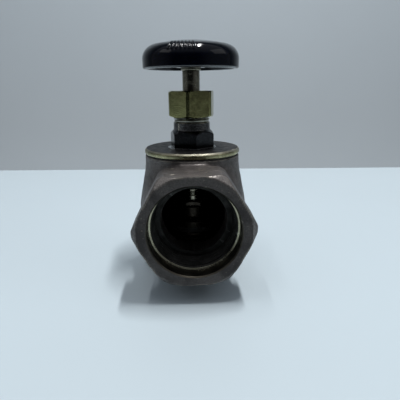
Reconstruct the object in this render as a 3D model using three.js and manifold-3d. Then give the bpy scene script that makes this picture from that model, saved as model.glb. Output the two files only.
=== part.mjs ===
// An angle-pattern needle valve for 1-1/4 inch pipe, as a scene graph of separate pieces.
//
// Units are millimetres and +Z is up. Every piece is drawn around the crossing of the two port axes:
// the stem stands on +Z, one threaded port faces -Y and the other faces -Z. The whole group is then
// shifted so that the part's origin is the centre of the bottom of its bounding box.
import * as THREE from "three";
import { mergeVertices } from "three/addons/utils/BufferGeometryUtils.js";
import Module from "manifold-3d";

const wasm = await Module();
wasm.setup();

// ---------------------------------------------------------------- driving dimensions
const CLEARANCE = 0.3; // radial gap between pieces that screw or slide together
const FACE_GAP = 0.05; // gap between faces that rest on each other

const BODY_HEX_FLATS = 50.8; // both pipe ends
const SIDE_LEG = 47; // port axis crossing to the side port's face
const BOTTOM_LEG = 35.4; // port axis crossing to the bottom port's face
const PORT_MOUTH_R = 21; // plain recess in front of the pipe thread
const SIDE_RECESS_DEPTH = 6.8;
const SIDE_THREAD_DEPTH = 17.4; // face to the end of the pipe thread
const BOTTOM_RECESS_DEPTH = 5.4;
const BOTTOM_THREAD_DEPTH = 16;
const WATERWAY_R = 15.95;
const NECK_TOP_Z = 27.5; // rim that the bonnet gasket sits on
const CHAMBER_FLOOR_Z = -16.2;

const FLANGE_R = 24.9;
const FLANGE_TOP_Z = 31.1;
const BONNET_HEX_FLATS = 20.6;
const BONNET_HEX_TURN = 10.6; // degrees about the stem
const BONNET_NECK_R = 9.4; // male thread for the packing nut
const BOX_R = 7.2; // stuffing box

const STEM_R = 4.4;
const STEM_THREAD_R = 6.2;
const STEM_SQUARE = 6.2; // drive square across flats

const NUT_FLATS = 21.7;
const NUT_TURN = -9.5; // degrees about the stem
const NUT_BOTTOM_Z = 46.7;
const NUT_TOP_Z = 59.5;

const WHEEL_R = 24.05;
const WHEEL_RIM_Z = 69.9;
const WHEEL_CROWN_Z = 82.7;

const ORIFICE_R = 9.8; // bore of the seat ring
const SEAT_Z = -13.6; // top of the seat lip

// ---------------------------------------------------------------- materials
function metal(color, roughness, metalness) {
  return new THREE.MeshStandardMaterial({ color, roughness, metalness });
}
const castBronze = metal(0x3c3431, 0.55, 0.7);
const machinedBrass = metal(0x8d8449, 0.35, 0.95);
const stemBrass = metal(0x8f8668, 0.3, 0.95);
const seatBronze = metal(0x9a7f4f, 0.3, 0.95);
const blackPhenolic = metal(0x0a0b10, 0.12, 0);
const graphite = metal(0x2b2b2d, 0.7, 0.2);
const sealComposition = metal(0x2b2926, 0.6, 0);
const gasketFibre = metal(0x2a2624, 0.8, 0);
const zincSteel = metal(0xb5b7b8, 0.35, 1);

// ---------------------------------------------------------------- solids from three.js geometry
// A closed geometry as a manifold-3d solid, turned the right way out.
function solid(geometry) {
  const bare = geometry.clone();
  bare.deleteAttribute("normal");
  bare.deleteAttribute("uv");
  const merged = mergeVertices(bare, 1e-4);
  const vertProperties = new Float32Array(merged.attributes.position.array);
  const build = (triVerts) => new wasm.Manifold(new wasm.Mesh({ numProp: 3, vertProperties, triVerts }));
  const made = build(new Uint32Array(merged.index.array));
  if (made.volume() >= 0) return made;
  return build(new Uint32Array(merged.index.array).reverse());
}

// A manifold-3d solid back as a three.js geometry.
function geometryOf(body) {
  const mesh = body.getMesh();
  const geometry = new THREE.BufferGeometry();
  geometry.setAttribute("position", new THREE.BufferAttribute(new Float32Array(mesh.vertProperties), 3));
  geometry.setIndex(new THREE.BufferAttribute(new Uint32Array(mesh.triVerts), 1));
  return geometry;
}

// A profile of [radius, z] points turned about Z. It starts and ends on the axis, or closes on itself.
function turned(profile, segments = 36) {
  const points = profile.map(([r, z]) => new THREE.Vector2(r, z));
  return solid(new THREE.LatheGeometry(points, segments).rotateX(Math.PI / 2));
}

// A profile of [radius, distance] points turned about Y, the distance running towards -Y.
function turnedTowardsSide(profile, segments = 48) {
  const points = profile.map(([r, d]) => new THREE.Vector2(r, -d));
  return solid(new THREE.LatheGeometry(points, segments));
}

function ring(outer, inner, low, high, segments = 32) {
  return turned([[inner, low], [outer, low], [outer, high], [inner, high], [inner, low]], segments);
}

function rod(radius, low, high, segments = 32) {
  return turned([[0, low], [radius, low], [radius, high], [0, high]], segments);
}

function box(width, depth, low, high) {
  return solid(new THREE.BoxGeometry(width, depth, high - low).translate(0, 0, (low + high) / 2));
}

// A hexagonal prism about Z with two corners on the Y axis, turned by some degrees.
function hexPrism(flats, low, high, turn = 0) {
  const corner = flats / Math.sqrt(3);
  const prism = new THREE.CylinderGeometry(corner, corner, high - low, 6)
    .rotateX(Math.PI / 2)
    .translate(0, 0, (low + high) / 2)
    .rotateZ(THREE.MathUtils.degToRad(turn));
  return solid(prism);
}

// A hexagon whose corners are turned down to cornerR and chamfered, at some number of degrees from
// the end face, to a circle of lowR on its low end and highR on its high end.
function chamferedHex({ flats, low, high, turn, cornerR, lowR = cornerR, highR = cornerR, degrees = 30 }) {
  const slope = Math.tan(THREE.MathUtils.degToRad(degrees));
  const profile = [
    [0, low],
    [lowR, low],
    [cornerR, low + (cornerR - lowR) * slope],
    [cornerR, high - (cornerR - highR) * slope],
    [highR, high],
    [0, high],
  ];
  return hexPrism(flats, low, high, turn).intersect(turned(profile, 48));
}

const group = new THREE.Group();
function addPiece(name, body, material) {
  const mesh = new THREE.Mesh(geometryOf(body), material);
  mesh.name = name;
  group.add(mesh);
}

// ---------------------------------------------------------------- valve body
// The hollow of one pipe port, by distance from its face: lead-in, plain recess, then the tapered
// thread at its minor diameter.
const THREAD_START_R = 19.3;
const THREAD_END_R = 18.5;
const RECESS_STEP_R = 20.2;
function portHollow(recessDepth, threadDepth) {
  return [
    [0, -1],
    [PORT_MOUTH_R + 1.6, -1],
    [PORT_MOUTH_R, 0.6],
    [PORT_MOUTH_R, recessDepth],
    [RECESS_STEP_R, recessDepth + 0.3],
    [THREAD_START_R, recessDepth + 1.2],
    [THREAD_END_R, threadDepth],
    [0, threadDepth],
  ];
}

// Both hex ends: their corners, and the circles that the chamfers leave at the port's face and behind.
const HEX_END = { flats: BODY_HEX_FLATS, cornerR: 28.5, degrees: 45 };
const HEX_FACE_R = 25.9;
const HEX_BACK_R = 27.3;
const BOTTOM_HEX_TURN = 90; // puts two corners on the X axis
const SIDE_HEX_TURN = 91.8; // as cast, slightly out of square with the bottom one
const SIDE_HEX_LENGTH = 21.8;
const BOTTOM_HEX_LENGTH = 17;
const BRANCH_R = 24.2; // round branch that joins the side hex to the bulb
const BRANCH_LENGTH = 27;
const NECK_BORE_R = 19.7; // thread that takes the bonnet
const DIAPHRAGM_BOTTOM_Z = BOTTOM_THREAD_DEPTH - BOTTOM_LEG;
const SEAT_HOLE_R = 14.8;
const BULB_R = 28.8;

// Outside of the cast bulb, from the neck's rim down into the bottom hex.
const BULB = [
  [0, NECK_TOP_Z],
  [24.6, NECK_TOP_Z],
  [24.7, NECK_TOP_Z - 0.5],
  [24.8, 23.5],
  [25.4, 18.5],
  [26.7, 12],
  [27.9, 6],
  [28.7, 1],
  [BULB_R, -4],
  [28.3, -9],
  [27, -14],
  [25.2, -18],
  [24.6, -21],
  [0, -21],
];

// Inside of the bulb, from its floor up through the bonnet's thread.
const CHAMBER = [
  [0, CHAMBER_FLOOR_Z],
  [19.5, CHAMBER_FLOOR_Z],
  [22.5, -13],
  [23.8, -6],
  [23.4, 2],
  [21.4, 10],
  [19, 14],
  [NECK_BORE_R, 14.7],
  [NECK_BORE_R, NECK_TOP_Z + 1],
  [0, NECK_TOP_Z + 1],
];

function valveBody() {
  const bottomHex = chamferedHex({
    ...HEX_END,
    low: -BOTTOM_LEG,
    high: -BOTTOM_LEG + BOTTOM_HEX_LENGTH,
    lowR: HEX_FACE_R,
    highR: HEX_BACK_R,
    turn: BOTTOM_HEX_TURN,
  });
  const standingHex = chamferedHex({
    ...HEX_END,
    low: SIDE_LEG - SIDE_HEX_LENGTH,
    high: SIDE_LEG,
    lowR: HEX_BACK_R,
    highR: HEX_FACE_R,
    turn: SIDE_HEX_TURN,
  });
  const sideHex = solid(geometryOf(standingHex).rotateX(Math.PI / 2));
  const branch = turnedTowardsSide([[0, 0], [BRANCH_R, 0], [BRANCH_R, BRANCH_LENGTH], [0, BRANCH_LENGTH]]);
  const sideHollow = turnedTowardsSide(
    portHollow(SIDE_RECESS_DEPTH, SIDE_THREAD_DEPTH).map(([r, depth]) => [r, SIDE_LEG - depth]),
  );
  const waterway = turnedTowardsSide([[0, 4], [WATERWAY_R, 4], [WATERWAY_R, 30], [0, 30]]);
  const bottomHollow = turned(
    portHollow(BOTTOM_RECESS_DEPTH, BOTTOM_THREAD_DEPTH).map(([r, depth]) => [r, depth - BOTTOM_LEG]), 48,
  );
  const seatHole = rod(SEAT_HOLE_R, DIAPHRAGM_BOTTOM_Z - 1, CHAMBER_FLOOR_Z + 1);
  return turned(BULB, 48)
    .add(branch)
    .add(sideHex)
    .add(bottomHex)
    .subtract(sideHollow)
    .subtract(waterway)
    .subtract(bottomHollow)
    .subtract(turned(CHAMBER, 48))
    .subtract(seatHole);
}
addPiece("valve_body", valveBody(), castBronze);

// ---------------------------------------------------------------- seat ring
const SEAT_TUBE_R = SEAT_HOLE_R - CLEARANCE;
const SEAT_END_Z = DIAPHRAGM_BOTTOM_Z - 1.2;
const SEAT_FLANGE_R = 16.6;
const SEAT_FLANGE_TOP_Z = SEAT_Z - 1.1;
const SEAT_LIP_R = 11.8;
const DRIVING_SLOT = { length: 22.8, width: 3, depth: 2.2 }; // takes the key that screws the ring in

function seatRing() {
  const turning = turned([
    [ORIFICE_R, SEAT_END_Z],
    [SEAT_TUBE_R - 0.6, SEAT_END_Z],
    [SEAT_TUBE_R, SEAT_END_Z + 0.6],
    [SEAT_TUBE_R, CHAMBER_FLOOR_Z + FACE_GAP],
    [SEAT_FLANGE_R, CHAMBER_FLOOR_Z + FACE_GAP],
    [SEAT_FLANGE_R, SEAT_FLANGE_TOP_Z],
    [SEAT_LIP_R + 0.6, SEAT_FLANGE_TOP_Z],
    [SEAT_LIP_R, SEAT_Z],
    [ORIFICE_R + 0.6, SEAT_Z],
    [ORIFICE_R, SEAT_Z - 0.6],
    [ORIFICE_R, SEAT_END_Z],
  ]);
  const slotTop = SEAT_END_Z + DRIVING_SLOT.depth;
  const slot = box(DRIVING_SLOT.length, DRIVING_SLOT.width, SEAT_END_Z - 1, slotTop);
  return turning.subtract(slot);
}
addPiece("seat_ring", seatRing(), seatBronze);

// ---------------------------------------------------------------- bonnet and its gasket
const GASKET_Z = [NECK_TOP_Z + FACE_GAP, 28.15];
const FLANGE_BOTTOM_Z = GASKET_Z[1] + FACE_GAP;
addPiece("bonnet_gasket", ring(24.4, NECK_BORE_R + 0.1, ...GASKET_Z, 48), gasketFibre);

const SPIGOT_END_Z = 15;
const STEM_NUT_BORE_R = STEM_THREAD_R + CLEARANCE; // internal thread that raises the stem
const STEM_NUT_END_Z = 35.9;
const BOX_FLOOR_Z = 42.5;
const BONNET_TOP_Z = 54.5;
const BONNET_HEX_TOP_Z = 39.9;

function bonnet() {
  const spigotR = NECK_BORE_R - CLEARANCE;
  const outside = turned(
    [
      [0, SPIGOT_END_Z],
      [spigotR - 0.8, SPIGOT_END_Z],
      [spigotR, SPIGOT_END_Z + 0.8],
      [spigotR, FLANGE_BOTTOM_Z],
      [FLANGE_R - 0.5, FLANGE_BOTTOM_Z],
      [FLANGE_R, FLANGE_BOTTOM_Z + 0.5],
      [FLANGE_R, FLANGE_TOP_Z - 0.8],
      [FLANGE_R - 0.6, FLANGE_TOP_Z],
      [0, FLANGE_TOP_Z],
    ],
    48,
  );
  const hexTurning = turned(
    [
      [0, FLANGE_TOP_Z - 1],
      [13, FLANGE_TOP_Z - 1],
      [13, BONNET_HEX_TOP_Z - 3.4],
      [BONNET_NECK_R + 0.2, BONNET_HEX_TOP_Z],
      [0, BONNET_HEX_TOP_Z],
    ],
  );
  const prism = hexPrism(BONNET_HEX_FLATS, FLANGE_TOP_Z - 1, BONNET_HEX_TOP_Z, BONNET_HEX_TURN);
  const hex = prism.intersect(hexTurning);
  const neck = turned([
    [0, BONNET_HEX_TOP_Z - 2],
    [BONNET_NECK_R, BONNET_HEX_TOP_Z - 2],
    [BONNET_NECK_R, BONNET_TOP_Z - 0.8],
    [BONNET_NECK_R - 0.8, BONNET_TOP_Z],
    [0, BONNET_TOP_Z],
  ]);
  const backseatR = STEM_R + 0.25;
  const bores = turned([
    [0, SPIGOT_END_Z - 1],
    [STEM_NUT_BORE_R + 1, SPIGOT_END_Z - 1],
    [STEM_NUT_BORE_R, SPIGOT_END_Z + 1],
    [STEM_NUT_BORE_R, STEM_NUT_END_Z],
    [backseatR, STEM_NUT_END_Z + 1.8],
    [backseatR, BOX_FLOOR_Z],
    [BOX_R, BOX_FLOOR_Z],
    [BOX_R, BONNET_TOP_Z + 1],
    [0, BONNET_TOP_Z + 1],
  ]);
  const coredGroove = ring(15.6, 10.2, SPIGOT_END_Z - 1, 25.5);
  return outside.add(hex).add(neck).subtract(bores).subtract(coredGroove);
}
addPiece("bonnet", bonnet(), castBronze);

// ---------------------------------------------------------------- stem
const BUTTON_Z = [-5.7, -3.3]; // swivel head held inside the disc holder
const BUTTON_R = 5.6;
const SHANK_R = 4.2;
const STEM_THREAD_Z = [8, 25.5];
const SQUARE_START_Z = 69.6;
const STEM_TOP_Z = 77.6;
const SCREW_HOLE_R = 2.2;

function stem() {
  const turning = turned([
    [0, BUTTON_Z[0]],
    [BUTTON_R - 0.8, BUTTON_Z[0]],
    [BUTTON_R, BUTTON_Z[0] + 0.8],
    [BUTTON_R, BUTTON_Z[1]],
    [SHANK_R, BUTTON_Z[1]],
    [SHANK_R, 5],
    [SHANK_R - 0.6, 5.3],
    [SHANK_R - 0.6, 5.9],
    [SHANK_R, 6.2],
    [SHANK_R, STEM_THREAD_Z[0] - 1.2],
    [STEM_THREAD_R, STEM_THREAD_Z[0] + 0.6],
    [STEM_THREAD_R, STEM_THREAD_Z[1]],
    [STEM_R, STEM_THREAD_Z[1] + 1.8],
    [STEM_R, SQUARE_START_Z],
    [0, SQUARE_START_Z],
  ]);
  const square = box(STEM_SQUARE, STEM_SQUARE, SQUARE_START_Z - 1, STEM_TOP_Z);
  const roundedSquare = square.intersect(rod(STEM_R - 0.1, SQUARE_START_Z - 2, STEM_TOP_Z + 1));
  return turning.add(roundedSquare).subtract(rod(SCREW_HOLE_R, 70.5, STEM_TOP_Z + 1, 32));
}
addPiece("stem", stem(), stemBrass);

// ---------------------------------------------------------------- needle assembly under the stem
const SWIVEL_NUT_TOP_Z = 2.4;
const HOLDER_TOP_Z = 0;
const SOCKET_R = 6.9;

function swivelNut() {
  const low = HOLDER_TOP_Z + FACE_GAP;
  const hex = chamferedHex({ flats: 13, low, high: SWIVEL_NUT_TOP_Z, turn: 30, cornerR: 7.4, highR: 6.3 });
  const thread = rod(SOCKET_R - CLEARANCE, BUTTON_Z[1] + CLEARANCE, HOLDER_TOP_Z + 0.5);
  return hex.add(thread).subtract(rod(SHANK_R + CLEARANCE, BUTTON_Z[1], SWIVEL_NUT_TOP_Z + 1));
}
addPiece("swivel_nut", swivelNut(), seatBronze);

const HOLDER_FLANGE_R = 12.5;
const HOLDER_FLANGE_Z = [-10.5, -6.5];
const SPIGOT_R = 4.6; // threaded tail that takes the needle
const HOLDER_TAIL_Z = -19.4;

function discHolder() {
  const outside = turned([
    [0, HOLDER_TAIL_Z],
    [SPIGOT_R - 0.6, HOLDER_TAIL_Z],
    [SPIGOT_R, HOLDER_TAIL_Z + 0.6],
    [SPIGOT_R, HOLDER_FLANGE_Z[0]],
    [HOLDER_FLANGE_R, HOLDER_FLANGE_Z[0]],
    [HOLDER_FLANGE_R, HOLDER_FLANGE_Z[1] - 0.8],
    [HOLDER_FLANGE_R - 0.8, HOLDER_FLANGE_Z[1]],
    [9.4, HOLDER_FLANGE_Z[1]],
    [8.4, HOLDER_FLANGE_Z[1] + 1],
    [8.4, HOLDER_TOP_Z - 0.4],
    [8, HOLDER_TOP_Z],
    [0, HOLDER_TOP_Z],
  ]);
  return outside.subtract(rod(SOCKET_R, BUTTON_Z[0] - CLEARANCE, HOLDER_TOP_Z + 1));
}
addPiece("disc_holder", discHolder(), seatBronze);

const DISC_Z = [SEAT_Z + 0.3, HOLDER_FLANGE_Z[0] - FACE_GAP];
addPiece("seal_disc", ring(12, SPIGOT_R + CLEARANCE, ...DISC_Z), sealComposition);

// The needle is the nut that clamps the seal disc. Its nose tapers on a parabola.
const NEEDLE_TOP_R = 9.2;
const NEEDLE_TIP_R = 2.6;
const NEEDLE_TIP_Z = -24.5;
const NEEDLE_STEPS = 10;

function needle() {
  const top = DISC_Z[0] - FACE_GAP;
  const nose = Array.from({ length: NEEDLE_STEPS + 1 }, (_, i) => {
    const along = i / NEEDLE_STEPS;
    const r = NEEDLE_TIP_R + (NEEDLE_TOP_R - NEEDLE_TIP_R) * Math.sqrt(along);
    return [r, NEEDLE_TIP_Z + (top - 0.8 - NEEDLE_TIP_Z) * along];
  });
  const outside = turned([[0, NEEDLE_TIP_Z], ...nose, [NEEDLE_TOP_R, top], [0, top]]);
  return outside.subtract(rod(SPIGOT_R + CLEARANCE, HOLDER_TAIL_Z - 0.6, top + 1));
}
addPiece("needle", needle(), seatBronze);

// ---------------------------------------------------------------- stuffing box
const PACKING_GAP = 0.25; // packing to stem, and packing to box wall
const PACKING_OUTER_R = BOX_R - PACKING_GAP;
const PACKING_INNER_R = STEM_R + PACKING_GAP;
const WASHER_Z = [BOX_FLOOR_Z + FACE_GAP, 43.6];
addPiece("packing_washer", ring(PACKING_OUTER_R, PACKING_INNER_R, ...WASHER_Z), seatBronze);

const PACKING_RINGS = 4;
const PACKING_PITCH = 2.3;
for (let i = 0; i < PACKING_RINGS; i++) {
  const low = WASHER_Z[1] + FACE_GAP + i * PACKING_PITCH;
  const high = low + PACKING_PITCH - FACE_GAP;
  addPiece(`packing_ring_${i + 1}`, ring(PACKING_OUTER_R, PACKING_INNER_R, low, high), graphite);
}

const GLAND_BOTTOM_Z = WASHER_Z[1] + PACKING_RINGS * PACKING_PITCH + 2 * FACE_GAP;
const GLAND_FLANGE_Z = [55.6, 57.2];
function gland() {
  return turned([
    [PACKING_INNER_R, GLAND_BOTTOM_Z],
    [PACKING_OUTER_R, GLAND_BOTTOM_Z],
    [PACKING_OUTER_R, GLAND_FLANGE_Z[0]],
    [8.4, GLAND_FLANGE_Z[0]],
    [8.4, GLAND_FLANGE_Z[1]],
    [PACKING_INNER_R, GLAND_FLANGE_Z[1]],
    [PACKING_INNER_R, GLAND_BOTTOM_Z],
  ]);
}
addPiece("gland", gland(), seatBronze);

function packingNut() {
  const hex = chamferedHex({
    flats: NUT_FLATS,
    low: NUT_BOTTOM_Z,
    high: NUT_TOP_Z,
    turn: NUT_TURN,
    cornerR: 12.1,
    lowR: 10.9,
    highR: 11.1,
  });
  const hollow = turned([
    [0, NUT_BOTTOM_Z - 1],
    [BONNET_NECK_R + 1.3, NUT_BOTTOM_Z - 1],
    [BONNET_NECK_R + CLEARANCE, NUT_BOTTOM_Z + 0.8],
    [BONNET_NECK_R + CLEARANCE, GLAND_FLANGE_Z[1] + FACE_GAP],
    [STEM_R + 0.5, GLAND_FLANGE_Z[1] + FACE_GAP],
    [STEM_R + 0.5, NUT_TOP_Z - 0.3],
    [STEM_R + 1.8, NUT_TOP_Z + 1],
    [0, NUT_TOP_Z + 1],
  ]);
  return hex.subtract(hollow);
}
addPiece("packing_nut", packingNut(), machinedBrass);

// ---------------------------------------------------------------- handwheel
const RIM_INNER_R = 21.2;
const HUB_R = 8;
const INSERT_R = 5;
const INSERT_Z = [69.2, 78.4];
const SCREW_POCKET_R = 7.6;
const SCREW_POCKET_Z = 78.4;
const SHELL_TOP_Z = 78.3; // roof of the hollow under the wheel
const RIBS = 6;
const RIB_SIZE = { width: 1.8, height: 4.5 };
const SHOULDER_R = 7; // radius that rounds the crown into the side wall
const SHOULDER_STEPS = 7;
const CROWN_FALL = 1.3; // how much the crown drops towards the shoulder
const RIDGE_GROUPS = 3;
const RIDGES_PER_GROUP = 7;
const RIDGE_STEP = 4.9; // degrees between ridges
const RIDGE_TURN = -12; // degrees from the side port to the middle of the nearest group
const RIDGE_SIZE = { rise: 0.4, width: 0.9, innerR: 18.4, outerR: 23.6, low: 77.9 };

// The wheel's outside from the side wall's top to the screw pocket, raised by some distance.
function crownProfile(raised) {
  const centreR = WHEEL_R - SHOULDER_R;
  const centreZ = WHEEL_CROWN_Z - CROWN_FALL - SHOULDER_R;
  const radius = SHOULDER_R + raised;
  const shoulder = Array.from({ length: SHOULDER_STEPS + 1 }, (_, i) => {
    const angle = (i / SHOULDER_STEPS) * (Math.PI / 2);
    return [centreR + radius * Math.cos(angle), centreZ + radius * Math.sin(angle)];
  });
  return [...shoulder, [12, WHEEL_CROWN_Z - 0.4 + raised], [SCREW_POCKET_R + 0.7, WHEEL_CROWN_Z + raised]];
}

// Grip ridges: bars across the crown's shoulder, in evenly spaced groups.
function gripRidges() {
  const raisedCrown = turned(
    [[0, SHELL_TOP_Z], ...crownProfile(RIDGE_SIZE.rise), [0, WHEEL_CROWN_Z + RIDGE_SIZE.rise]], 48,
  );
  const length = RIDGE_SIZE.outerR - RIDGE_SIZE.innerR;
  const bars = [];
  for (let g = 0; g < RIDGE_GROUPS; g++) {
    for (let i = 0; i < RIDGES_PER_GROUP; i++) {
      const turn = RIDGE_TURN + (g * 360) / RIDGE_GROUPS + (i - (RIDGES_PER_GROUP - 1) / 2) * RIDGE_STEP;
      const bar = new THREE.BoxGeometry(RIDGE_SIZE.width, length, 6)
        .translate(0, -RIDGE_SIZE.innerR - length / 2, RIDGE_SIZE.low + 3)
        .rotateZ(THREE.MathUtils.degToRad(turn));
      bars.push(solid(bar).intersect(raisedCrown));
    }
  }
  return bars;
}

function handwheel() {
  const shell = turned(
    [
      [INSERT_R + CLEARANCE, 70.6],
      [HUB_R - 1, 70.6],
      [HUB_R, 73],
      [HUB_R + 0.6, SHELL_TOP_Z],
      [RIM_INNER_R - 3.5, SHELL_TOP_Z],
      [RIM_INNER_R - 0.6, 76],
      [RIM_INNER_R, WHEEL_RIM_Z + 0.4],
      [RIM_INNER_R + 0.5, WHEEL_RIM_Z],
      [WHEEL_R - 0.5, WHEEL_RIM_Z],
      [WHEEL_R, WHEEL_RIM_Z + 0.5],
      ...crownProfile(0),
      [SCREW_POCKET_R, WHEEL_CROWN_Z - 0.6],
      [SCREW_POCKET_R, SCREW_POCKET_Z],
      [INSERT_R + CLEARANCE, SCREW_POCKET_Z],
      [INSERT_R + CLEARANCE, 70.6],
    ],
    48,
  );
  const ribLength = RIM_INNER_R - HUB_R + 1;
  const ribs = Array.from({ length: RIBS }, (_, i) => {
    const rib = new THREE.BoxGeometry(ribLength, RIB_SIZE.width, RIB_SIZE.height)
      .translate((RIM_INNER_R + HUB_R) / 2, 0, SHELL_TOP_Z - 1.7)
      .rotateZ((i * 2 * Math.PI) / RIBS);
    return solid(rib);
  });
  return [...ribs, ...gripRidges()].reduce((wheel, feature) => wheel.add(feature), shell);
}
addPiece("handwheel", handwheel(), blackPhenolic);

function hubInsert() {
  const bush = turned([
    [0, INSERT_Z[0]],
    [INSERT_R - 0.3, INSERT_Z[0]],
    [INSERT_R, INSERT_Z[0] + 0.3],
    [INSERT_R, INSERT_Z[1]],
    [0, INSERT_Z[1]],
  ]);
  const hole = STEM_SQUARE + 2 * CLEARANCE;
  // The round shoulder of the stem ends inside a short counterbore below the square hole.
  const counterbore = rod(STEM_R + CLEARANCE, INSERT_Z[0] - 1, SQUARE_START_Z + CLEARANCE);
  return bush.subtract(box(hole, hole, INSERT_Z[0] - 1, INSERT_Z[1] + 1)).subtract(counterbore);
}
addPiece("hub_insert", hubInsert(), seatBronze);

const SCREW_WASHER_Z = [SCREW_POCKET_Z + FACE_GAP, SCREW_POCKET_Z + 0.75];
function springWasher() {
  const cut = new THREE.BoxGeometry(4, 0.7, 2).translate(4, 0, SCREW_POCKET_Z + 0.4).rotateZ(0.6);
  return ring(5.2, 2.4, ...SCREW_WASHER_Z).subtract(solid(cut));
}
addPiece("spring_washer", springWasher(), zincSteel);

function handwheelScrew() {
  const seat = SCREW_WASHER_Z[1] + FACE_GAP;
  const turning = turned([
    [0, 71],
    [SCREW_HOLE_R - CLEARANCE, 71],
    [SCREW_HOLE_R - CLEARANCE, seat],
    [4.3, seat],
    [4.3, seat + 1.3],
    [3.6, seat + 2.2],
    [2, seat + 2.6],
    [0, seat + 2.7],
  ]);
  const slot = box(10, 1.1, seat + 1.5, seat + 4);
  return turning.subtract(slot);
}
addPiece("handwheel_screw", handwheelScrew(), zincSteel);

// ---------------------------------------------------------------- origin
// The bounding box runs from the side port's face to the back of the bulb.
group.position.set(0, (SIDE_LEG - BULB_R) / 2, BOTTOM_LEG);

export default group;
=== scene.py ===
"""Looks for an angle-pattern needle valve: cast body, screwed bonnet, packing nut and black handwheel.

Shapes are worked out in millimetres around the crossing of the two port axes: the stem stands on +Z,
one port faces -Y and the other faces -Z. They are turned into metres in the CAD frame at the end.
"""
import math

import bpy
import numpy as np
from mathutils import Matrix, Vector


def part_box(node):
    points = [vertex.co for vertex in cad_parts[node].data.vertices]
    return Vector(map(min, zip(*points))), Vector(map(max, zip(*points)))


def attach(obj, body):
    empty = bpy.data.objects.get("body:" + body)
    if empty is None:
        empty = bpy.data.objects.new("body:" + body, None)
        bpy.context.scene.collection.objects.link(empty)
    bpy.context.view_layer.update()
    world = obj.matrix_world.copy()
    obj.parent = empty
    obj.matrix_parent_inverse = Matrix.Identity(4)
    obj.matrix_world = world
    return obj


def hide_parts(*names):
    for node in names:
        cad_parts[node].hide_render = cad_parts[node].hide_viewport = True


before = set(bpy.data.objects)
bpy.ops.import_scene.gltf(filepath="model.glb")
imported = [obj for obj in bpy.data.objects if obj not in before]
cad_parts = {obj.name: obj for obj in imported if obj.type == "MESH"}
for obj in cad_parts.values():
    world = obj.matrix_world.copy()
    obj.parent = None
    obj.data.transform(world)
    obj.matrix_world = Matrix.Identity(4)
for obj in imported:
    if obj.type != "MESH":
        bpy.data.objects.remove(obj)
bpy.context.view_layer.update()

MM = 0.001
TAU = 2 * math.pi
DEG = math.pi / 180

# The port axes cross this far above the top of the seal disc, on the disc's own axis.
CROSSING_ABOVE_DISC = 10.55
disc_low, disc_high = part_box("seal_disc")
ORIGIN = np.array([
    (disc_low.x + disc_high.x) / 2,
    (disc_low.y + disc_high.y) / 2,
    disc_high.z + CROSSING_ABOVE_DISC * MM,
])

ROOT = "body_and_bonnet"
NEEDLE = "needle_assembly"
STEM = "stem_and_wheel"
NUT = "packing_nut_body"


# ------------------------------------------------------------------ mesh tools
def soft_min(a, b, k):
    """The smaller of two fields, blended where they are within k of each other."""
    h = np.maximum(k - np.abs(a - b), 0) / k
    return np.minimum(a, b) - h * h * k / 4


def soft_max(a, b, k):
    return -soft_min(-a, -b, k)


def smoothstep(low, high, x):
    t = np.clip((x - low) / (high - low), 0, 1)
    return t * t * (3 - 2 * t)


def soften(profile, radius, steps=4, closed=False):
    """Rounds the corners of a polyline of [radius, height] points."""
    points = [np.array(p, float) for p in profile]
    count = len(points)
    out = []
    for i, p in enumerate(points):
        if not closed and i in (0, count - 1):
            out.append(p)
            continue
        before, after = points[i - 1], points[(i + 1) % count]
        a, b = before - p, after - p
        la, lb = np.linalg.norm(a), np.linalg.norm(b)
        cut = min(radius, 0.45 * la, 0.45 * lb)
        start, end = p + a / la * cut, p + b / lb * cut
        for t in np.linspace(0, 1, steps + 1):
            out.append((1 - t) ** 2 * start + 2 * t * (1 - t) * p + t * t * end)
    return np.array(out)


def refine(profile, step):
    """Adds points along a polyline so that none are further apart than step."""
    out = [profile[0]]
    for a, b in zip(profile[:-1], profile[1:]):
        pieces = max(1, math.ceil(np.linalg.norm(b - a) / step))
        out.extend(a + (b - a) * t for t in np.linspace(0, 1, pieces + 1)[1:])
    return np.array(out)


def angles(count, turn=0.0):
    """Angles round the axis. The first one points towards -Y, turned by some degrees."""
    return (np.arange(count) / count) * TAU - TAU / 4 + turn * DEG


def rows_from(radius, height, theta):
    """Rings of points: radius may change round each ring."""
    radius = np.broadcast_to(radius, (len(height), len(theta)))
    z = np.broadcast_to(np.asarray(height, float)[:, None], radius.shape)
    return np.stack([radius * np.cos(theta), radius * np.sin(theta), z], axis=2)


def hex_radius(theta, flats, turn=0.0):
    """Distance from the axis to a hexagon's side, with a corner towards -Y turned by some degrees."""
    from_corner = np.mod(theta + TAU / 4 - turn * DEG, TAU / 6) - TAU / 12
    return flats / 2 / np.cos(from_corner)


def thread(theta, height, pitch, depth, start, end, fade=1.2):
    """How far a screw thread stands in or out, at each height and angle, fading out at both ends."""
    z = np.asarray(height, float)[:, None]
    turn = z / pitch - theta[None, :] / TAU
    shape = 0.5 - 0.5 * np.cos(TAU * turn)
    return depth * shape * smoothstep(start, start + fade, z) * (1 - smoothstep(end - fade, end, z))


def surface(rows, first_pole=None, last_pole=None):
    """Vertices and faces of rings joined in order: into a closed loop, or capped at poles on the axis."""
    count, around = rows.shape[:2]
    verts = rows.reshape(-1, 3)
    j = np.arange(around)
    k = (j + 1) % around
    faces = []
    joins = [(i, i + 1) for i in range(count - 1)]
    if first_pole is None:
        joins.append((count - 1, 0))
    for a, b in joins:
        quad = np.stack([a * around + j, a * around + k, b * around + k, b * around + j], axis=1)
        faces.extend(quad.tolist())
    if first_pole is not None:
        verts = np.vstack([verts, first_pole, last_pole])
        low, high = count * around, count * around + 1
        last = (count - 1) * around
        faces.extend([low, int(b), int(a)] for a, b in zip(j, k))
        faces.extend([high, int(last + a), int(last + b)] for a, b in zip(j, k))
    return verts, faces


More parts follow.
